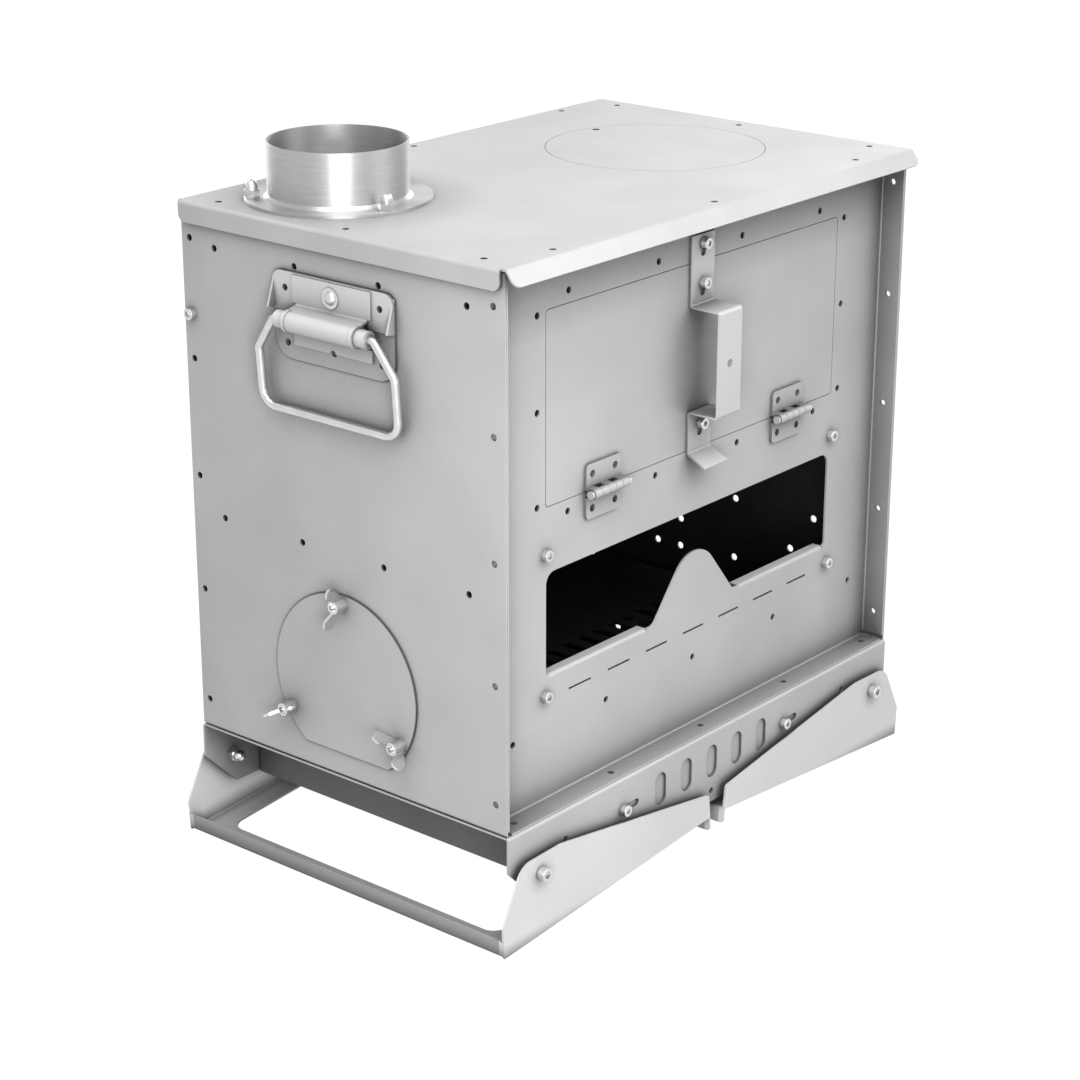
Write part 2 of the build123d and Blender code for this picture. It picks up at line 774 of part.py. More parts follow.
def base_tray():
    """Deck with skirts folded down at the front and the back."""
    front = skirt_y + sheet / 2
    low = deck_z - skirt_depth
    middle = deck_z - sheet / 2
    path = [(front, low), (front, middle), (-front, middle), (-front, low)]
    tray = folded(path, side_plane(0), body_width)
    for side in (-1, 1):
        corner = Polyline((side * side_x, low), (side * side_x, deck_z - skirt_end),
                          (side * (side_x - skirt_cut), low), close=True)
        tray -= extrude(front_plane(0) * make_face(corner), body_depth, both=True)
    window = RectangleRounded(deck_window_x, deck_window_y, 2 * corner_r)
    tray -= cutter(level_plane(deck_z), window, [(0, 0)])
    plane = front_plane(skirt_y)
    tray -= extrude(plane * vent_holes(), 2 * sheet, both=True)
    slot = SlotCenterToCenter(damper_travel(), 2 * (M5[0] + run_gap))
    slots = [(x, deck_z - vent_drop) for x in centred_row(2, damper_slot_spacing)]
    tray -= cutter(plane, slot, slots)
    for y in (skirt_y, -skirt_y):
        tray -= cutter(front_plane(y), Circle(rivet_r), wall_rivets() + floor_rivets())
        tray -= cutter(front_plane(y), Circle(M6[0]), pivot_spots())
    return tray - cutter(level_plane(deck_z), Circle(rivet_r), ledge_spots())


def wall_rivets():
    x = side_x - wall_in - wall_flange / 2
    return [(-x, deck_z - wall_hole_drop), (x, deck_z - wall_hole_drop)]


def floor_rivets():
    return [(0, deck_z - floor_hole_drop)]


def pivot_spots():
    return [(side * (side_x - pivot_in), leg_low) for side in (-1, 1)]


def cross_wall(side):
    """Upright wall across the base, with flanges in along both skirts."""
    x = side * (side_x - wall_in - sheet / 2)
    inner = side * (side_x - wall_in - wall_flange)
    y = back_y - fit_gap - sheet / 2
    height = skirt_depth - sheet
    path = [(inner, -y), (x, -y), (x, y), (inner, y)]
    wall = folded(path, level_plane(deck_z - sheet - height / 2), height)
    for face in (-y, y):
        wall -= cutter(front_plane(face), Circle(rivet_r), wall_rivets())
        wall -= Pos(x, face, deck_z - sheet) * Box(3 * wall_flange, 2 * (sheet + bend), 2 * bend)
    vents = [(side_y, deck_z - wall_vent_drop) for side_y in (-wall_vent_y, wall_vent_y)]
    return wall - cutter(side_plane(x), Circle(spare_hole_r), vents)


def air_box_floor():
    """Floor of the air box, between the cross walls, with a flange up along each skirt."""
    half = body_depth / 2 - fit_gap - sheet / 2
    low = deck_z - skirt_depth + sheet / 2
    high = deck_z - skirt_depth + floor_flange
    path = [(-half, high), (-half, low), (half, low), (half, high)]
    floor = folded(path, side_plane(0), body_width - 2 * wall_in - 2 * sheet - 2 * fit_gap)
    keep_x = side_x - wall_in - wall_flange - fit_gap
    keep_y = back_y - fit_gap - sheet - bend
    for x0, x1 in ((-side_x, -keep_x), (keep_x, side_x)):
        for y0, y1 in ((-body_depth, -keep_y), (keep_y, body_depth)):
            floor -= block(x0, x1, y0, y1, 0, deck_z)
    for y in (front_y, back_y):
        floor -= cutter(front_plane(y), Circle(rivet_r), floor_rivets(), 3 * sheet)
    return floor


def air_slider():
    """Damper plate behind the front skirt; its holes match the skirt's when it is pushed over."""
    plane = front_plane(front_y + run_gap + sheet)
    length = 2 * (side_x - wall_in - wall_flange - damper_clear) - damper_travel()
    plate = Pos(-damper_travel() / 2, deck_z - vent_drop) * Rectangle(length, damper_height)
    plate = extrude(plane * (plate - Pos(-damper_travel(), 0) * vent_holes()), sheet)
    return plate - cutter(plane, Circle(M5[0]), damper_screw_spots())


def air_slider_screws():
    spots = [facing(x, skirt_y - run_gap, z, FORWARD) for x, z in damper_screw_spots()]
    return Compound(children=[spot * cap_screw(M5, screw_length) for spot in spots])


def air_slider_nuts():
    y = front_y + run_gap + sheet
    spots = [facing(x, y, z, BACKWARD) for x, z in damper_screw_spots()]
    return Compound(children=[spot * hex_nut(nut5, M5[0]) for spot in spots])


def fire_grate():
    top = deck_z + grate_up
    front = panel_back_y + grate_clear
    depth = back_y - sheet - grate_back - front
    grate = Pos(0, front + depth / 2, top) * pan(body_width - 2 * grate_in, depth, grate_up)
    slot = SlotOverall(grate_slot_length, grate_slot_width, rotation=90)
    y = front + grate_slot_front + grate_slot_length / 2
    slots = [(x, y) for x in centred_row(grate_slots, grate_slot_pitch)]
    return grate - cutter(level_plane(top), slot, slots)


# Legs

def leg():
    """Left leg, folded: two arms and the sloped plate between them, in one folded sheet."""
    outline = Polyline((-leg_out, -leg_low), (-leg_out - sheet, leg_outer_height - leg_low),
                       (leg_shoulder_x, leg_shoulder_z), (leg_ridge_x, leg_ridge_z),
                       (leg_reach - leg_tip_in, leg_tip_z), (leg_reach, plate_rise - leg_low), close=True)
    arm = make_face(outline)
    corners = ((leg_shoulder_x, leg_shoulder_r), (leg_ridge_x, 2 * leg_shoulder_r),
               (leg_reach - leg_tip_in, corner_r))
    for x, radius in corners:
        arm = fillet(arm.vertices().filter_by(lambda v: abs(v.X - x) < sheet / 2), radius)
    arm -= Circle(M6[0] + pin_gap)
    pivot = (-side_x + pivot_in, leg_low)
    arms = [extrude(front_plane(y) * Pos(*pivot) * arm, sheet) for y in (arm_y, -arm_y + sheet)]
    along = Vector(cos(leg_pitch), sin(leg_pitch))
    down = Vector(sin(leg_pitch), -cos(leg_pitch))
    low = Vector(pivot[0] - leg_out, 0) - down * (sheet / 2)
    far = Vector(pivot[0] + leg_reach, plate_rise) - down * (sheet / 2)
    rim = low - down * leg_lip + along * (sheet / 2)
    low = low + along * (sheet / 2)
    foot = far + down * foot_depth
    path = [(p.X, p.Y) for p in (rim, low, far - along * (sheet / 2), foot - along * (sheet / 2))]
    plate = folded(path, front_plane(0), 2 * (-arm_y + sheet))
    ends = plate.edges().filter_by(lambda e: e.length < 1.1 * sheet).sort_by(Axis.X)
    plate = fillet(ends[-2:], corner_r)
    length = hypot(leg_reach + leg_out, plate_rise)
    middle = (low + far) * 0.5 + along * ((leg_window_outer - leg_window_inner) / 2)
    tilt = Plane(origin=(middle.X, 0, middle.Y), x_dir=(along.X, 0, along.Y), z_dir=(-down.X, 0, -down.Y))
    window = RectangleRounded(length - leg_window_outer - leg_window_inner,
                              2 * (-arm_y + sheet - leg_window_edge), leg_window_corner)
    plate -= extrude(tilt * window, 3 * sheet, both=True)
    return plate + arms


def left_leg():
    return leg()


def right_leg():
    return on_the_right(leg())


def pivot_places():
    """Pivots as place of the skirt's outer face and direction outwards."""
    return [(x, y, z, (0, -1 if y < 0 else 1, 0)) for x, z in pivot_spots() for y in (skirt_y, -skirt_y)]


def leg_pivot_screws():
    reach = spacer + sheet + 2 * run_gap
    length = reach + sheet + acorn_height / 2
    screw = Pos(0, 0, reach) * cap_screw(M6, length)
    return Compound(children=[facing(x, y, z, way) * screw for x, y, z, way in pivot_places()])


def leg_spacers():
    ring = extrude(Circle(spacer_r) - Circle(M6[0]), spacer)
    return Compound(children=[facing(x, y, z, way) * ring for x, y, z, way in pivot_places()])


def leg_pivot_cap_nuts():
    nut = Pos(0, 0, -sheet) * Rot(180, 0, 0) * acorn_nut(nut6, acorn_height, M6[0])
    return Compound(children=[facing(x, y, z, way) * nut for x, y, z, way in pivot_places()])


# Oven door

def hinge_leaf(centre, up):
    """Hinge leaf with its knuckles rolled over the pin; up is 1 on the door, -1 on the panel."""
    reach = hinge_height / 2
    half = hinge_width / 2
    low, high = sorted((up * leaf_split, up * reach))
    plate = Pos(0, (low + high) / 2) * Rectangle(hinge_width, high - low)
    outer = plate.vertices().group_by(Axis.Y)[-1 if up > 0 else 0]
    plate = fillet(outer, leaf_corner)
    plane = Plane(origin=(centre, panel_y, hinge_z), x_dir=(1, 0, 0), z_dir=(0, -1, 0))
    body = extrude(plane * plate, leaf)
    step = hinge_width / knuckle_count
    first = 0 if up > 0 else 1
    for i in range(first, knuckle_count, 2):
        x0 = centre - half + i * step + run_gap / 2
        x1 = centre - half + (i + 1) * step - run_gap / 2
        low, high = sorted((up * (knuckle_r - leaf), up * knuckle_r))
        body += block(x0, x1, hinge_y, panel_y, hinge_z + low, hinge_z + high)
        body += Plane(origin=(x0, hinge_y, hinge_z), z_dir=RIGHT) * extrude(Circle(knuckle_r), x1 - x0)
    for i in range(1 - first, knuckle_count, 2):
        x0 = centre - half + i * step - run_gap / 2
        x1 = centre - half + (i + 1) * step + run_gap / 2
        low, high = sorted((0, up * (knuckle_r + run_gap)))
        body -= block(x0, x1, hinge_y - knuckle_r, panel_y - run_gap, hinge_z + low, hinge_z + high)
    bore = hinge_pin_r + (0 if up < 0 else pin_gap)
    body -= Pos(centre, hinge_y, hinge_z) * Rot(0, 90, 0) * Cylinder(bore, 2 * hinge_width)
    z = up * leaf_hole_pitch / 2
    spots = [(-leaf_hole_pitch / 2, z), (leaf_hole_pitch / 2, z)]
    return body - cutter(plane, Circle(leaf_hole_r), spots, 2 * leaf)


def hinge_pin(centre):
    reach = hinge_width / 2 + run_gap
    pin = Cylinder(hinge_pin_r, 2 * reach)
    for side in (-1, 1):
        pin += Pos(0, 0, side * (reach + pin_head / 2)) * Cylinder(hinge_pin_r + pin_head_over, pin_head)
    return Pos(centre, hinge_y, hinge_z) * Rot(0, 90, 0) * pin


def oven_door():
    """Flat door that fills its opening flush with the front panel."""
    plane = front_plane(panel_y)
    outline = RectangleRounded(door_width - 2 * door_gap, door_height - 2 * door_gap, corner_r - door_gap)
    plate = extrude(plane * (Pos(0, deck_z + door_up + door_height / 2) * outline), -door_sheet)
    plate -= cutter(plane, Circle(leaf_hole_r), leaf_holes(1, 0))
    return plate - cutter(plane, Circle(M5[0]), [(0, deck_z + up) for up in guide_ups])


def latch_guide_screws():
    stand_off = sheet + 2 * run_gap
    spots = [facing(0, panel_y - stand_off, deck_z + up, FORWARD) for up in guide_ups]
    return Compound(children=[spot * cap_screw(M5, screw_length) for spot in spots])


def latch_guide_nuts():
    spots = [facing(0, panel_y + door_sheet, deck_z + up, BACKWARD) for up in guide_ups]
    return Compound(children=[spot * hex_nut(nut5, M5[0]) for spot in spots])


def latch_bar():
    """Strip folded out into a grip, with a lower lip, two guide slots and the catch's keyhole."""
    y = latch_y - sheet / 2
    out = y - grip_out
    top = guide_ups[0] - grip_down
    end = guide_ups[1] + grip_rise
    fold = door_up - latch_under
    path = [(y, catch_up + latch_over), (y, top), (out, top), (out, end), (y, end), (y, fold),
            (y - lip_out, fold - lip_drop)]
    bar = folded([(u, deck_z + v) for u, v in path], side_plane(0), latch_width)
    travel = latch_travel + run_gap
    width = 2 * (M5[0] + run_gap)
    slots = [(0, deck_z + up - travel / 2) for up in (*guide_ups, catch_up)]
    plane = front_plane(latch_y)
    bar -= cutter(plane, SlotCenterToCenter(travel, width, rotation=90), slots, 3 * sheet)
    bar -= cutter(plane, Circle(M5[1] + door_gap), [(0, deck_z + catch_up)], 3 * sheet)
    hole = (0, deck_z + (top + end) / 2)
    return bar - cutter(front_plane(latch_y - grip_out), Circle(grip_hole_r), [hole], 3 * sheet)


# Ash door

def port_cover():
    plane = side_plane(-side_x - sheet)
    centre = (port_y, deck_z + port_up)
    cover = extrude(plane * (Pos(*centre) * port_outline(port_cover_r, port_cover_flat)), sheet)
    return cover - cutter(plane, Circle(M6[0] + run_gap), stud_spots())


def port_studs():
    """Studs with heads inside the panel."""
    stud = Pos(0, 0, (stud_length - sheet) / 2) * Cylinder(M6[0], stud_length + sheet)
    stud += Pos(0, 0, -sheet - stud_head / 2) * Cylinder(M6[1], stud_head)
    return Compound(children=[facing(-side_x, y, z, LEFT) * stud for y, z in stud_spots()])


def wing_nut(spot, turn):
    """Round boss with two wings that flare out."""
    boss = Pos(0, 0, wing_boss / 2) * Cone(wing_boss_r, wing_boss_top_r, wing_boss)
    rounds = [(Pos(x, y) * Circle(radius)).edge() for x, y, radius in (wing_root, wing_tip)]
    blade = extrude(Plane.XZ * make_hull(rounds), wing_sheet / 2, both=True)
    nut = boss + blade + Rot(0, 0, 180) * blade
    nut -= Pos(0, 0, wing_boss / 2) * Cylinder(M6[0] + pin_gap, 2 * wing_boss)
    y, z = spot
    place = Plane(origin=(-side_x - sheet, y, z), x_dir=(0, 1, 0), z_dir=LEFT)
    return place.location * Rot(0, 0, turn) * nut


# Carry handles

def handle_z():
    return lid_z - handle_down


def handle_holes():
    """Holes of the handle plate, in Y and Z."""
    rows = [handle_z() - plate_row_pitch / 2, handle_z() + plate_row_pitch / 2]
    return [(handle_y + y, z) for z in rows for y in centred_row(3, plate_hole_pitch)]


def handle_outline():
    """Outline of the plate about its middle, with tighter corners above."""
    upper = RectangleRounded(plate_width, plate_height / 2, plate_top_corner)
    return RectangleRounded(plate_width, plate_height, plate_corner) + Pos(0, plate_height / 4) * upper


def handle_plate():
    plane = side_plane(-side_x - sheet)
    plate = extrude(plane * (Pos(handle_y, handle_z()) * handle_outline()), sheet)
    return plate - cutter(plane, Circle(plate_hole_r), handle_holes())


def handle_barrel():
    """Cover sheet on the plate; its raised middle slopes out and is rolled into the barrel."""
    face = -side_x - sheet
    out = -side_x - barrel_out
    z = handle_z()
    ears = handle_outline() - Pos(0, cover_low - plate_height) * Rectangle(2 * plate_width, 2 * plate_height)
    plane = side_plane(face)
    body = extrude(plane * (Pos(handle_y, z) * ears), -sheet)
    raised = face - shield_raise - sheet / 2
    rim = (raised, z + plate_height / 2 - bend)
    fold = (raised, z + shield_fold)
    end = (out, z + barrel_r - sheet / 2)
    middle = Plane(origin=(0, handle_y, 0), x_dir=(1, 0, 0), z_dir=(0, -1, 0))
    body -= block(face - 2 * sheet, face, handle_y - barrel_length / 2, handle_y + barrel_length / 2,
                  z, z + shield_fold - bend)
    body += folded([rim, fold, end], middle, shield_pad)
    corner = (face, z + cover_low)
    wall = extrude(middle * make_face(Polyline(
        corner, (face - ear_wall, z + cover_low + sheet), (face, z + plate_height / 2 - ear_wall_down),
        corner)), sheet)
    reach = plate_width / 2
    body += Pos(0, -reach + sheet, 0) * wall
    body += Pos(0, reach, 0) * wall
    for y in (handle_y - shield_pad / 2, handle_y + shield_pad / 2):
        wide = (shield_pad - barrel_length) / 2
        body -= block(out - 2 * barrel_r, face - sheet, y - wide, y + wide, z, z + shield_fold + sheet)
    low = z - barrel_r + sheet / 2
    tail = (face - sheet / 2, low - 2 * bend - sheet)
    body += folded([(out, low), (tail[0], low), tail], middle, barrel_length)
    half = shield_pad / 2
    body += block(face - sheet, face, handle_y - half, handle_y + half, z - tail_low, tail[1])
    barrel = Pos(out, handle_y, z) * Rot(90, 0, 0) * Cylinder(barrel_r, barrel_length)
    for side in (-1, 1):
        spot = Pos(out, handle_y + side * (barrel_length / 2 - sheet), z)
        barrel += spot * Rot(90, 0, 0) * Cylinder(barrel_r + bead, 2 * sheet)
    body += barrel
    body -= Pos(out, handle_y, z) * Rot(90, 0, 0) * Cylinder(rod_r + pin_gap, 2 * barrel_length)
    return body - cutter(plane, Circle(plate_hole_r), handle_holes(), 3 * sheet)


def handle_rivet():
    """Round-headed rivet through cover, plate and panel."""
    grip = 3 * sheet + shield_raise
    dome = Pos(0, 0, rivet_head - rivet_dome) * Sphere(rivet_dome)
    dome &= Pos(0, 0, rivet_head) * Box(4 * rivet_dome, 4 * rivet_dome, 2 * rivet_head)
    shank = Pos(0, 0, -grip / 2) * Cylinder(plate_hole_r, grip)
    tail = Pos(0, 0, -grip - sheet / 2) * Cylinder(1.5 * plate_hole_r, sheet)
    rim = Pos(0, 0, rivet_rim / 2) * Cylinder(rivet_rim_r, rivet_rim)
    spot = facing(-side_x + sheet - grip, handle_y, handle_z() + plate_row_pitch / 2, LEFT)
    return spot * (dome + rim + shank + tail)


def bail():
    """Rod that ends in the barrel, hanging down and leaning in towards the panel."""
    wide = bail_neck + bail_slope
    lengths = [(bail_neck, 0), (wide, bail_shoulder), (wide, bail_drop)]
    inner = barrel_length / 2 - rod_in_barrel
    half = [(inner, 0)] + [(y, -z) for y, z in lengths]
    points = half + [(-y, z) for y, z in reversed(half)]
    plane = Plane(origin=(0, 0, 0), x_dir=(0, 1, 0), z_dir=(1, 0, 0))
    turns = (bail_neck_r, bail_shoulder_r, bail_corner_r)
    path = FilletPolyline(*points, radius=[*turns, *reversed(turns)])
    section = Plane(origin=(0, inner, 0), x_dir=(1, 0, 0), z_dir=(0, 1, 0)) * Circle(rod_r)
    rod = sweep(section, path=plane * path)
    return bail_place() * rod


def bail_place():
    return Pos(-side_x - barrel_out, handle_y, handle_z()) * Rot(0, -bail_lean, 0)


def bail_bushes():
    ring = extrude(Circle(bush_r) - Circle(rod_r), bush_length)
    start = barrel_length / 2 + run_gap
    spots = [Plane(origin=(0, start, 0), z_dir=BACKWARD), Plane(origin=(0, -start, 0), z_dir=FORWARD)]
    return Compound(children=[bail_place() * spot.location * ring for spot in spots])


def on_the_right(shape):
    return Compound(children=[mirror(solid, Plane.YZ) for solid in shape.solids()])


LEFT_HINGE = -side_x + hinge_from_side
RIGHT_HINGE = side_x - hinge_from_side

pieces = {
    "left_panel": left_panel(),
    "right_panel": right_panel(),
    "front_panel": front_panel(),
    "back_panel": back_panel(),
    "oven_floor": oven_floor(),
    "oven_roof": oven_roof(),
    "oven_back": oven_back(),
    "door_frame": door_frame(),
    "catch_screw": catch_screw(),
    "catch_nut": catch_nut(),
    "mouth_screws": mouth_screws(),
    "mouth_nuts": mouth_nuts(),
    "side_screw": side_screw(),
    "side_nut": side_nut(),
    "lid": lid(),
    "hob_disc": hob_disc(),
    "hob_support_ring": hob_support_ring(),
    "flue_collar": flue_collar(),
    "flue_screws": flue_screws(),
    "flue_cap_nuts": flue_cap_nuts(),
    "base_tray": base_tray(),
    "left_cross_wall": cross_wall(-1),
    "right_cross_wall": cross_wall(1),
    "air_box_floor": air_box_floor(),
    "air_slider": air_slider(),
    "air_slider_screws": air_slider_screws(),
    "air_slider_nuts": air_slider_nuts(),
    "fire_grate": fire_grate(),
    "left_leg": left_leg(),
    "right_leg": right_leg(),
    "leg_pivot_screws": leg_pivot_screws(),
    "leg_spacers": leg_spacers(),
    "leg_pivot_cap_nuts": leg_pivot_cap_nuts(),
    "left_hinge_door_leaf": hinge_leaf(LEFT_HINGE, 1),
    "right_hinge_door_leaf": hinge_leaf(RIGHT_HINGE, 1),
    "left_hinge_fixed_leaf": hinge_leaf(LEFT_HINGE, -1),
    "right_hinge_fixed_leaf": hinge_leaf(RIGHT_HINGE, -1),
    "left_hinge_pin": hinge_pin(LEFT_HINGE),
    "right_hinge_pin": hinge_pin(RIGHT_HINGE),
    "oven_door": oven_door(),
    "latch_guide_screws": latch_guide_screws(),
    "latch_guide_nuts": latch_guide_nuts(),
    "latch_bar": latch_bar(),
    "port_cover": port_cover(),
    "port_studs": port_studs(),
    "wing_nut_top": wing_nut(stud_spots()[0], wing_turns[0]),
    "wing_nut_back": wing_nut(stud_spots()[1], wing_turns[1]),
    "wing_nut_front": wing_nut(stud_spots()[2], wing_turns[2]),
    "left_handle_plate": handle_plate(),
    "left_handle_barrel": handle_barrel(),
    "left_handle_rivet": handle_rivet(),
    "left_bail": bail(),
    "left_bail_bushes": bail_bushes(),
    "right_handle_plate": on_the_right(handle_plate()),
    "right_handle_barrel": on_the_right(handle_barrel()),
    "right_handle_rivet": on_the_right(handle_rivet()),
    "right_bail": on_the_right(bail()),
    "right_bail_bushes": on_the_right(bail_bushes()),
}

os.makedirs("parts", exist_ok=True)
for name, shape in pieces.items():
    export_step(shape, f"parts/{name}.step")
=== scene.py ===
"""Looks of the folding camp oven: finishes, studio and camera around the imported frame."""
from math import radians

import bmesh
import bpy
from mathutils import Matrix, Vector


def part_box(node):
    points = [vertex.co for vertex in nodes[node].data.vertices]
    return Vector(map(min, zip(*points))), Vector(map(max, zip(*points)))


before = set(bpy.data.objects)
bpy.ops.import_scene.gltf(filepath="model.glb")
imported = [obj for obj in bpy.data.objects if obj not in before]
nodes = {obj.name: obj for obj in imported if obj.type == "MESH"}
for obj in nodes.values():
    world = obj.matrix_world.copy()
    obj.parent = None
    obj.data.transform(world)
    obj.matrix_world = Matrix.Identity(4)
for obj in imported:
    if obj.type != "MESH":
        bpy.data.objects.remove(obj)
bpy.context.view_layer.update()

MM = 0.001
SHEET = 1.5 * MM
FAR = 1.0  # metres from the origin, past every piece of the oven


# Colours and nodes

# Sockets of a colour Mix node: the second colour's share, the two colours and the result
SHARE, FIRST, SECOND, MIXED = 0, 6, 7, 2
# Noise seldom leaves these values, so a Map Range node stretches them to its full range
NOISE_VALUES = {"From Min": 0.3, "From Max": 0.7}


def colour(text):
    """Linear colour of an sRGB hex value."""
    parts = [int(text[i:i + 2], 16) / 255 for i in (1, 3, 5)]
    linear = [p / 12.92 if p <= 0.04045 else ((p + 0.055) / 1.055) ** 2.4 for p in parts]
    return (*linear, 1.0)


def add(tree, kind, sockets=None, **settings):
    """Adds a node; a socket gets a value, another node's socket or another node's first output."""
    node = tree.nodes.new(kind)
    for name, value in settings.items():
        setattr(node, name, value)
    for socket, value in (sockets or {}).items():
        if isinstance(value, bpy.types.Node):
            value = value.outputs[0]
        if isinstance(value, bpy.types.NodeSocket):
            tree.links.new(value, node.inputs[socket])
        else:
            node.inputs[socket].default_value = value
    return node


def new_material(name):
    """Empty material and its tree."""
    material = bpy.data.materials.new(name)
    material.use_nodes = True
    material.node_tree.nodes.clear()
    return material, material.node_tree


# Where soot and painted shade (under the legs' body, along seams and in corners) lie on a sheet

SEAM = 0.3 * MM  # to either side of an outline
FADE = 0.1 * MM  # to either side of where soot or the painted shade under the legs' body ends


def inside_box(tree, place, low, high):
    """1 inside a box, 0 outside it."""
    low = Vector(low)
    high = Vector(high)
    half = (high - low) / 2
    offset = add(tree, "ShaderNodeVectorMath", {0: place, 1: (high + low) / 2}, operation="SUBTRACT")
    away = add(tree, "ShaderNodeVectorMath", {0: offset}, operation="ABSOLUTE")
    past = add(tree, "ShaderNodeVectorMath", {0: away, 1: half}, operation="SUBTRACT")
    x, y, z = add(tree, "ShaderNodeSeparateXYZ", {0: past}).outputs
    level = add(tree, "ShaderNodeMath", {0: x, 1: y}, operation="MAXIMUM")
    furthest = add(tree, "ShaderNodeMath", {0: level, 1: z}, operation="MAXIMUM")
    return add(tree, "ShaderNodeMapRange", {"Value": furthest, "From Min": -FADE, "From Max": FADE,
                                            "To Min": 1.0, "To Max": 0.0})


def round_outline(tree, place, node):
    """Distance past the edge of a round cover with a flat foot, on a side panel."""
    low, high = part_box(node)
    radius = (high.y - low.y) / 2
    centre = (0, (high.y + low.y) / 2, high.z - radius)
    offset = add(tree, "ShaderNodeVectorMath", {0: place, 1: centre}, operation="SUBTRACT")
    on_panel = add(tree, "ShaderNodeVectorMath", {0: offset, 1: (0, 1, 1)}, operation="MULTIPLY")
    reach = add(tree, "ShaderNodeVectorMath", {0: on_panel}, operation="LENGTH").outputs["Value"]
    past_rim = add(tree, "ShaderNodeMath", {0: reach, 1: radius}, operation="SUBTRACT")
    height = add(tree, "ShaderNodeSeparateXYZ", {0: place}).outputs["Z"]
    past_foot = add(tree, "ShaderNodeMath", {0: low.z, 1: height}, operation="SUBTRACT")
    return add(tree, "ShaderNodeMath", {0: past_rim, 1: past_foot}, operation="MAXIMUM")


def plate_outline(tree, place, node, top_corner=8 * MM, foot_corner=15 * MM):
    """Distance past the edge of a plate on a side panel, whose upper round corners are smaller."""
    low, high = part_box(node)
    half = (high - low) / 2
    half.x = FAR  # the seam shows at any depth
    offset = add(tree, "ShaderNodeVectorMath", {0: place, 1: (high + low) / 2}, operation="SUBTRACT")
    height = add(tree, "ShaderNodeSeparateXYZ", {0: offset}).outputs["Z"]
    upper = add(tree, "ShaderNodeMath", {0: height, 1: 0.0}, operation="GREATER_THAN")
    corner = add(tree, "ShaderNodeMapRange", {"Value": upper, "To Min": foot_corner, "To Max": top_corner})
    away = add(tree, "ShaderNodeVectorMath", {0: offset}, operation="ABSOLUTE")
    past_edges = add(tree, "ShaderNodeVectorMath", {0: away, 1: half}, operation="SUBTRACT")
    past_arcs = add(tree, "ShaderNodeVectorMath", {0: past_edges, 1: corner}, operation="ADD")
    outwards = add(tree, "ShaderNodeVectorMath", {0: past_arcs, 1: (0, 0, 0)}, operation="MAXIMUM")
    reach = add(tree, "ShaderNodeVectorMath", {0: outwards}, operation="LENGTH").outputs["Value"]
    return add(tree, "ShaderNodeMath", {0: reach, 1: corner}, operation="SUBTRACT")


def seam_lines(tree, place, seams):
    """1 on the thin dark line, a painted contact shadow, where a cover or a plate lies on a sheet."""
    nearest = FAR
    for outline, node in seams:
        away = add(tree, "ShaderNodeMath", {0: outline(tree, place, node)}, operation="ABSOLUTE")
        nearest = add(tree, "ShaderNodeMath", {0: away, 1: nearest}, operation="MINIMUM")
    return add(tree, "ShaderNodeMapRange", {"Value": nearest, "From Min": SEAM, "From Max": 2 * SEAM,
                                            "To Min": 1.0, "To Max": 0.0})


def corner_grime(tree, reach):
    """Painted shade: 0 on open faces, rising in corners, holes and under edges, as far as an ambient
    occlusion node finds them hidden.
    """
    hidden = add(tree, "ShaderNodeAmbientOcclusion", {"Distance": reach}, samples=4).outputs["AO"]
    return add(tree, "ShaderNodeMapRange", {"Value": hidden, "From Min": 0.42, "From Max": 0.99,
                                            "To Min": 0.95, "To Max": 0.0})


# Finishes

def satin_steel(name, low="#bdbdbd", high="#c7c7c7", reach=60 * MM, seams=(), stain=None, soot=None):
    """Cold-rolled stainless sheet, pickled dull: even pale grey with a faint cloud and a fine grain.

    reach is how far the painted shade spreads from corners, seams are the outlines of what lies on the
    sheet, along which a painted contact shadow runs, and the box of painted shade and the soot box are the
    boxes that they fill.
    """
    material, tree = new_material(name)
    place = add(tree, "ShaderNodeTexCoord").outputs["Object"]
    cloud = add(tree, "ShaderNodeTexNoise", {"Vector": place, "Scale": 1 / (90 * MM), "Detail": 3.0})
    share = add(tree, "ShaderNodeMapRange", {"Value": cloud, **NOISE_VALUES})
    face = add(tree, "ShaderNodeMix", {SHARE: share, FIRST: colour(low), SECOND: colour(high)},
               data_type="RGBA")
    marks = []
    # A thin darker line along each seam outline: painted contact shadow
    if seams:
        marks.append((seam_lines(tree, place, seams), "#7c7c7c"))
    # Darker inside the box under the legs' body: painted shade
    if stain:
        marks.append((inside_box(tree, place, *stain), "#acabaa"))
    # Darker in corners, holes and under edges: painted shade
    marks.append((corner_grime(tree, reach), "#404040"))
    for where, tone in marks:
        face = add(tree, "ShaderNodeMix", {SHARE: where, FIRST: face.outputs[MIXED], SECOND: colour(tone)},
                   data_type="RGBA")
    pickling = add(tree, "ShaderNodeTexNoise", {"Vector": place, "Scale": 1 / (35 * MM), "Detail": 4.0})
    rough = add(tree, "ShaderNodeMapRange", {"Value": pickling, **NOISE_VALUES,
                                             "To Min": 0.52, "To Max": 0.60})
    # The real grain is finer than a render shows, so it is drawn 0.9 mm wide
    grain = add(tree, "ShaderNodeTexNoise", {"Vector": place, "Scale": 1 / (0.9 * MM), "Detail": 1.0})
    bump = add(tree, "ShaderNodeBump", {"Height": grain, "Strength": 0.06, "Distance": 0.02 * MM})
    surface = add(tree, "ShaderNodeBsdfPrincipled", {
        "Base Color": face.outputs[MIXED], "Roughness": rough, "Normal": bump,
        "Metallic": 0.25, "Specular IOR Level": 0.3})
    if soot:
        surface = add(tree, "ShaderNodeMixShader", {
            0: inside_box(tree, place, *soot), 1: surface, 2: fire_scale(tree, place)})
    add(tree, "ShaderNodeOutputMaterial", {"Surface": surface})
    return material


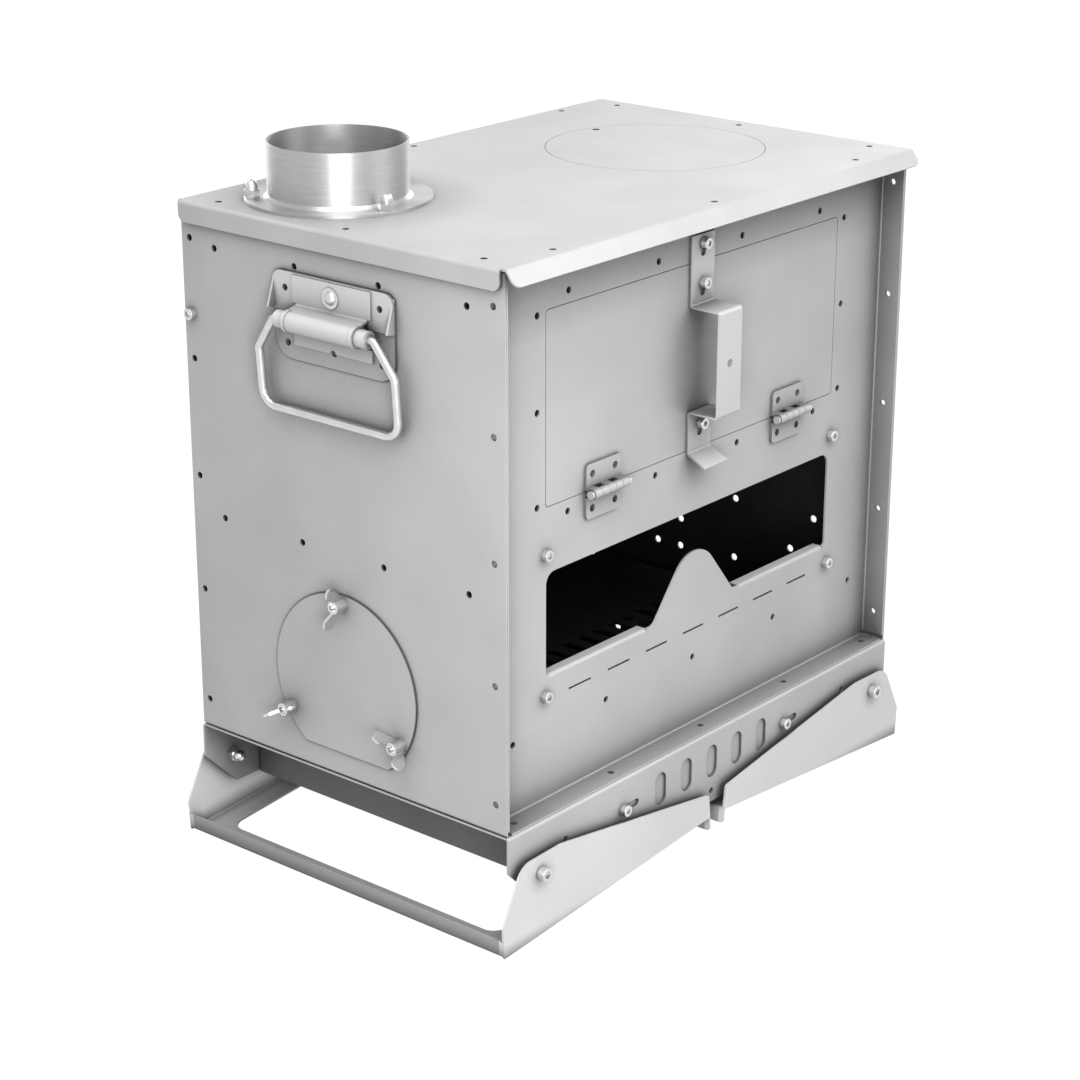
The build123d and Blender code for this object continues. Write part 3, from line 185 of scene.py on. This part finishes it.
def fire_scale(tree, place):
    """Shader of steel blackened by fire: near black with flakes of brown-grey scale, dull."""
    flakes = add(tree, "ShaderNodeTexNoise", {"Vector": place, "Scale": 1 / (12 * MM), "Detail": 5.0})
    share = add(tree, "ShaderNodeMapRange", {"Value": flakes, **NOISE_VALUES})
    face = add(tree, "ShaderNodeMix", {SHARE: share, FIRST: colour("#0c0c0c"), SECOND: colour("#1b1a19")},
               data_type="RGBA")
    bump = add(tree, "ShaderNodeBump", {"Height": flakes, "Strength": 0.2, "Distance": 0.2 * MM})
    return add(tree, "ShaderNodeBsdfPrincipled", {
        "Base Color": face.outputs[MIXED], "Normal": bump, "Roughness": 0.75, "Metallic": 0.2})


def fired_steel(name):
    """Sheet that the fire has blackened all over."""
    material, tree = new_material(name)
    place = add(tree, "ShaderNodeTexCoord").outputs["Object"]
    add(tree, "ShaderNodeOutputMaterial", {"Surface": fire_scale(tree, place)})
    return material


def plated_steel(name):
    """Zinc-plated screws, nuts and rods: bright, with a slightly uneven shine."""
    material, tree = new_material(name)
    place = add(tree, "ShaderNodeTexCoord").outputs["Object"]
    cloud = add(tree, "ShaderNodeTexNoise", {"Vector": place, "Scale": 1 / (14 * MM), "Detail": 1.0})
    share = add(tree, "ShaderNodeMapRange", {"Value": cloud, **NOISE_VALUES})
    face = add(tree, "ShaderNodeMix", {SHARE: share, FIRST: colour("#cacaca"), SECOND: colour("#d6d6d6")},
               data_type="RGBA")
    wear = add(tree, "ShaderNodeTexNoise", {"Vector": place, "Scale": 1 / (9 * MM), "Detail": 1.0})
    rough = add(tree, "ShaderNodeMapRange", {"Value": wear, **NOISE_VALUES, "To Min": 0.22, "To Max": 0.26})
    surface = add(tree, "ShaderNodeBsdfPrincipled", {
        "Base Color": face.outputs[MIXED], "Roughness": rough, "Metallic": 1.0})
    add(tree, "ShaderNodeOutputMaterial", {"Surface": surface})
    return material


def brushed_tube(name, node):
    """Stainless flue pipe brushed round its girth, so that lights draw out into upright bands."""
    material, tree = new_material(name)
    place = add(tree, "ShaderNodeTexCoord").outputs["Object"]
    low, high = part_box(node)
    # The scratches are drawn 1.2 mm wide, so that they show, and twenty times as long
    along = add(tree, "ShaderNodeMapping", {"Vector": place, "Scale": (0.05, 0.05, 1)})
    scratches = add(tree, "ShaderNodeTexNoise", {"Vector": along, "Scale": 1 / (1.2 * MM), "Detail": 2.0})
    share = add(tree, "ShaderNodeMapRange", {"Value": scratches, **NOISE_VALUES})
    face = add(tree, "ShaderNodeMix", {SHARE: share, FIRST: colour("#b2b2b2"), SECOND: colour("#bcbcbc")},
               data_type="RGBA")
    from_axis = add(tree, "ShaderNodeVectorMath", {0: place, 1: (low + high) / 2}, operation="SUBTRACT")
    round_it = add(tree, "ShaderNodeVectorMath", {0: from_axis, 1: (0, 0, -1)}, operation="CROSS_PRODUCT")
    surface = add(tree, "ShaderNodeBsdfPrincipled", {
        "Base Color": face.outputs[MIXED], "Tangent": round_it, "Metallic": 1.0, "Roughness": 0.42,
        "Anisotropic": 0.85, "Anisotropic Rotation": 0.25})
    add(tree, "ShaderNodeOutputMaterial", {"Surface": surface})
    return material


def give(material, *names):
    """Covers nodes of the frame with a material."""
    for name in names:
        slots = nodes[name].data.materials
        slots.clear()
        slots.append(material)


# The fire blackens the inner faces of the sheets round the chamber
front_low, front_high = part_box("front_panel")
side_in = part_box("right_panel")[1].x - SHEET + FADE
back_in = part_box("back_panel")[1].y - SHEET + FADE
chamber = ((-side_in, front_high.y, front_low.z), (side_in, back_in, front_high.z))

# The legs' long strips under the body are darker, a painted shade for the body's shadow, and their end
# plates stay pale
leg_low, leg_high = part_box("left_leg")
end_plate = 3 * SHEET
under_body = ((-FAR, leg_low.y + end_plate, -FAR), (FAR, leg_high.y - end_plate, FAR))

cover_seam = (round_outline, "port_cover")
left_plate_seam = (plate_outline, "left_handle_plate")
right_plate_seam = (plate_outline, "right_handle_plate")

sheet_steel = satin_steel("satin_stainless_sheet")
fired_sheet = satin_steel("satin_stainless_sheet_sooted_inside", soot=chamber)
left_sheet = satin_steel("left_panel_sheet", seams=[cover_seam, left_plate_seam], soot=chamber)
right_sheet = satin_steel("right_panel_sheet", seams=[right_plate_seam], soot=chamber)
cover_sheet = satin_steel("ash_door_sheet", seams=[cover_seam])
plate_sheet = satin_steel("handle_plate_sheet", seams=[left_plate_seam, right_plate_seam])
# Paler than the body, with painted shade only close to the corners. On the legs, the handle barrels and the
# bushes the paler tone is painted light, a lit copy of the body's sheet
leg_sheet = satin_steel("pale_sheet_painted_shade_under_body", "#dcdcdc", "#e4e4e4", reach=12 * MM, stain=under_body)
pale_sheet = satin_steel("pale_satin_stainless_sheet", "#cccccc", "#d4d4d4", reach=30 * MM)
stamped_sheet = satin_steel("stamping_sheet_painted_highlight", "#d2d2d2", "#dadada", reach=20 * MM)
# The damper is a little darker: painted shade, for the shade behind the skirt's vents
slider_sheet = satin_steel("damper_sheet_painted_shade", "#bababa", "#c2c2c2")
# The cross walls are dark grey: painted shade, for the deep shade under the side panels
shaded_sheet = satin_steel("dark_sheet_painted_shade", "#6c6c6c", "#787878", reach=30 * MM)
soot_steel = fired_steel("fire_blackened_steel")
plating = plated_steel("zinc_plated_steel")
pipe_steel = brushed_tube("brushed_stainless_pipe", "flue_collar")

give(fired_sheet, "front_panel", "back_panel", "lid", "oven_door")
give(left_sheet, "left_panel")
give(right_sheet, "right_panel")
give(sheet_steel, "base_tray", "hob_disc", "air_box_floor", "left_hinge_door_leaf", "right_hinge_door_leaf",
     "left_hinge_fixed_leaf", "right_hinge_fixed_leaf")
give(cover_sheet, "port_cover")
give(plate_sheet, "left_handle_plate", "right_handle_plate")
give(leg_sheet, "left_leg", "right_leg")
give(pale_sheet, "latch_bar")
give(shaded_sheet, "left_cross_wall", "right_cross_wall")
give(slider_sheet, "air_slider")
give(soot_steel, "oven_floor", "oven_roof", "oven_back", "door_frame", "fire_grate", "hob_support_ring")
give(pipe_steel, "flue_collar")
give(stamped_sheet, "left_handle_barrel", "right_handle_barrel", "left_bail_bushes", "right_bail_bushes")
give(plating, "left_bail", "right_bail", "left_hinge_pin", "right_hinge_pin", "left_handle_rivet",
     "right_handle_rivet", "catch_screw", "catch_nut", "mouth_screws", "mouth_nuts", "side_screw",
     "side_nut", "flue_screws", "flue_cap_nuts", "air_slider_screws", "air_slider_nuts",
     "leg_pivot_screws", "leg_spacers", "leg_pivot_cap_nuts", "latch_guide_screws", "latch_guide_nuts",
     "port_studs", "wing_nut_top", "wing_nut_back", "wing_nut_front")


# Studio

def white_rays(tree):
    """1 for camera, mirror and glass rays, to which the backdrop is white."""
    path = add(tree, "ShaderNodeLightPath").outputs
    bounced = add(tree, "ShaderNodeMath", {0: path["Is Glossy Ray"], 1: path["Is Transmission Ray"]},
                  operation="MAXIMUM")
    return add(tree, "ShaderNodeMath", {0: path["Is Camera Ray"], 1: bounced}, operation="MAXIMUM")


def white_paper(name):
    """Backdrop paper: it reads white, and the oven's soft shadow still shows on it."""
    material, tree = new_material(name)
    paper = add(tree, "ShaderNodeBsdfDiffuse", {"Color": colour("#5c5c5c")})
    glow = add(tree, "ShaderNodeEmission", {"Color": colour("#ffffff"), "Strength": 0.98})
    lit = add(tree, "ShaderNodeAddShader", {0: paper, 1: glow})
    surface = add(tree, "ShaderNodeMixShader", {0: white_rays(tree), 1: paper, 2: lit})
    add(tree, "ShaderNodeOutputMaterial", {"Surface": surface})
    return material


def studio_floor(half_width):
    """Square sheet of paper under the oven."""
    mesh = bmesh.new()
    bmesh.ops.create_grid(mesh, x_segments=1, y_segments=1, size=half_width)
    data = bpy.data.meshes.new("floor")
    mesh.to_mesh(data)
    mesh.free()
    data.materials.append(white_paper("white_paper"))
    floor = bpy.data.objects.new("floor", data)
    bpy.context.scene.collection.objects.link(floor)


def studio_world():
    """Even soft light; camera, mirror and glass rays see white."""
    world = bpy.data.worlds.new("studio")
    bpy.context.scene.world = world
    world.use_nodes = True
    tree = world.node_tree
    tree.nodes.clear()
    soft = add(tree, "ShaderNodeBackground", {"Color": colour("#ffffff"), "Strength": 0.10})
    white = add(tree, "ShaderNodeBackground", {"Color": colour("#ffffff"), "Strength": 1.0})
    light = add(tree, "ShaderNodeMixShader", {0: white_rays(tree), 1: soft, 2: white})
    add(tree, "ShaderNodeOutputWorld", {"Surface": light})


def soft_box(name, place, target, size, watts):
    """Square area lamp that faces its target."""
    lamp = bpy.data.lights.new(name, "AREA")
    lamp.shape = "SQUARE"
    lamp.size = size
    lamp.energy = watts
    holder = bpy.data.objects.new(name, lamp)
    bpy.context.scene.collection.objects.link(holder)
    holder.visible_camera = False
    aim = (Vector(target) - Vector(place)).to_track_quat("-Z", "Y")
    holder.matrix_world = Matrix.Translation(place) @ aim.to_matrix().to_4x4()


def studio_camera(place, azimuth, looks_down, roll, lens):
    """Camera turned in degrees: azimuth 0 looks along +Y, and looks_down is how far below level."""
    data = bpy.data.cameras.new("camera")
    data.lens = lens
    data.sensor_width = 36.0
    data.clip_end = 100.0
    camera = bpy.data.objects.new("camera", data)
    bpy.context.scene.collection.objects.link(camera)
    turn = Matrix.Rotation(radians(azimuth), 4, "Z")
    tilt = Matrix.Rotation(radians(90 - looks_down), 4, "X")
    lean = Matrix.Rotation(radians(roll), 4, "Z")
    camera.matrix_world = Matrix.Translation(place) @ turn @ tilt @ lean
    bpy.context.scene.camera = camera


studio_floor(half_width=2.4)
studio_world()
soft_box("overhead", place=(-0.8, -0.9, 2.7), target=(0, 0, 0.3), size=2.6, watts=78)
soft_box("front_left", place=(-0.88, -0.74, 0.42), target=(-0.1, 0, 0.25), size=0.5, watts=8)
soft_box("right_front", place=(1.2, -2.0, 2.2), target=(0, 0, 0.25), size=1.8, watts=29)
soft_box("far_right", place=(2.8, 0.9, 1.2), target=(0, 0, 0.4), size=1.2, watts=16)
soft_box("rear", place=(0.7, 2.6, 1.0), target=(0, 0, 0.2), size=1.2, watts=16)
studio_camera(place=(-1.49069, -1.22996, 0.91800), azimuth=-50.088, looks_down=20.354, roll=0.06, lens=90.1)
bpy.context.scene.view_settings.view_transform = "Standard"
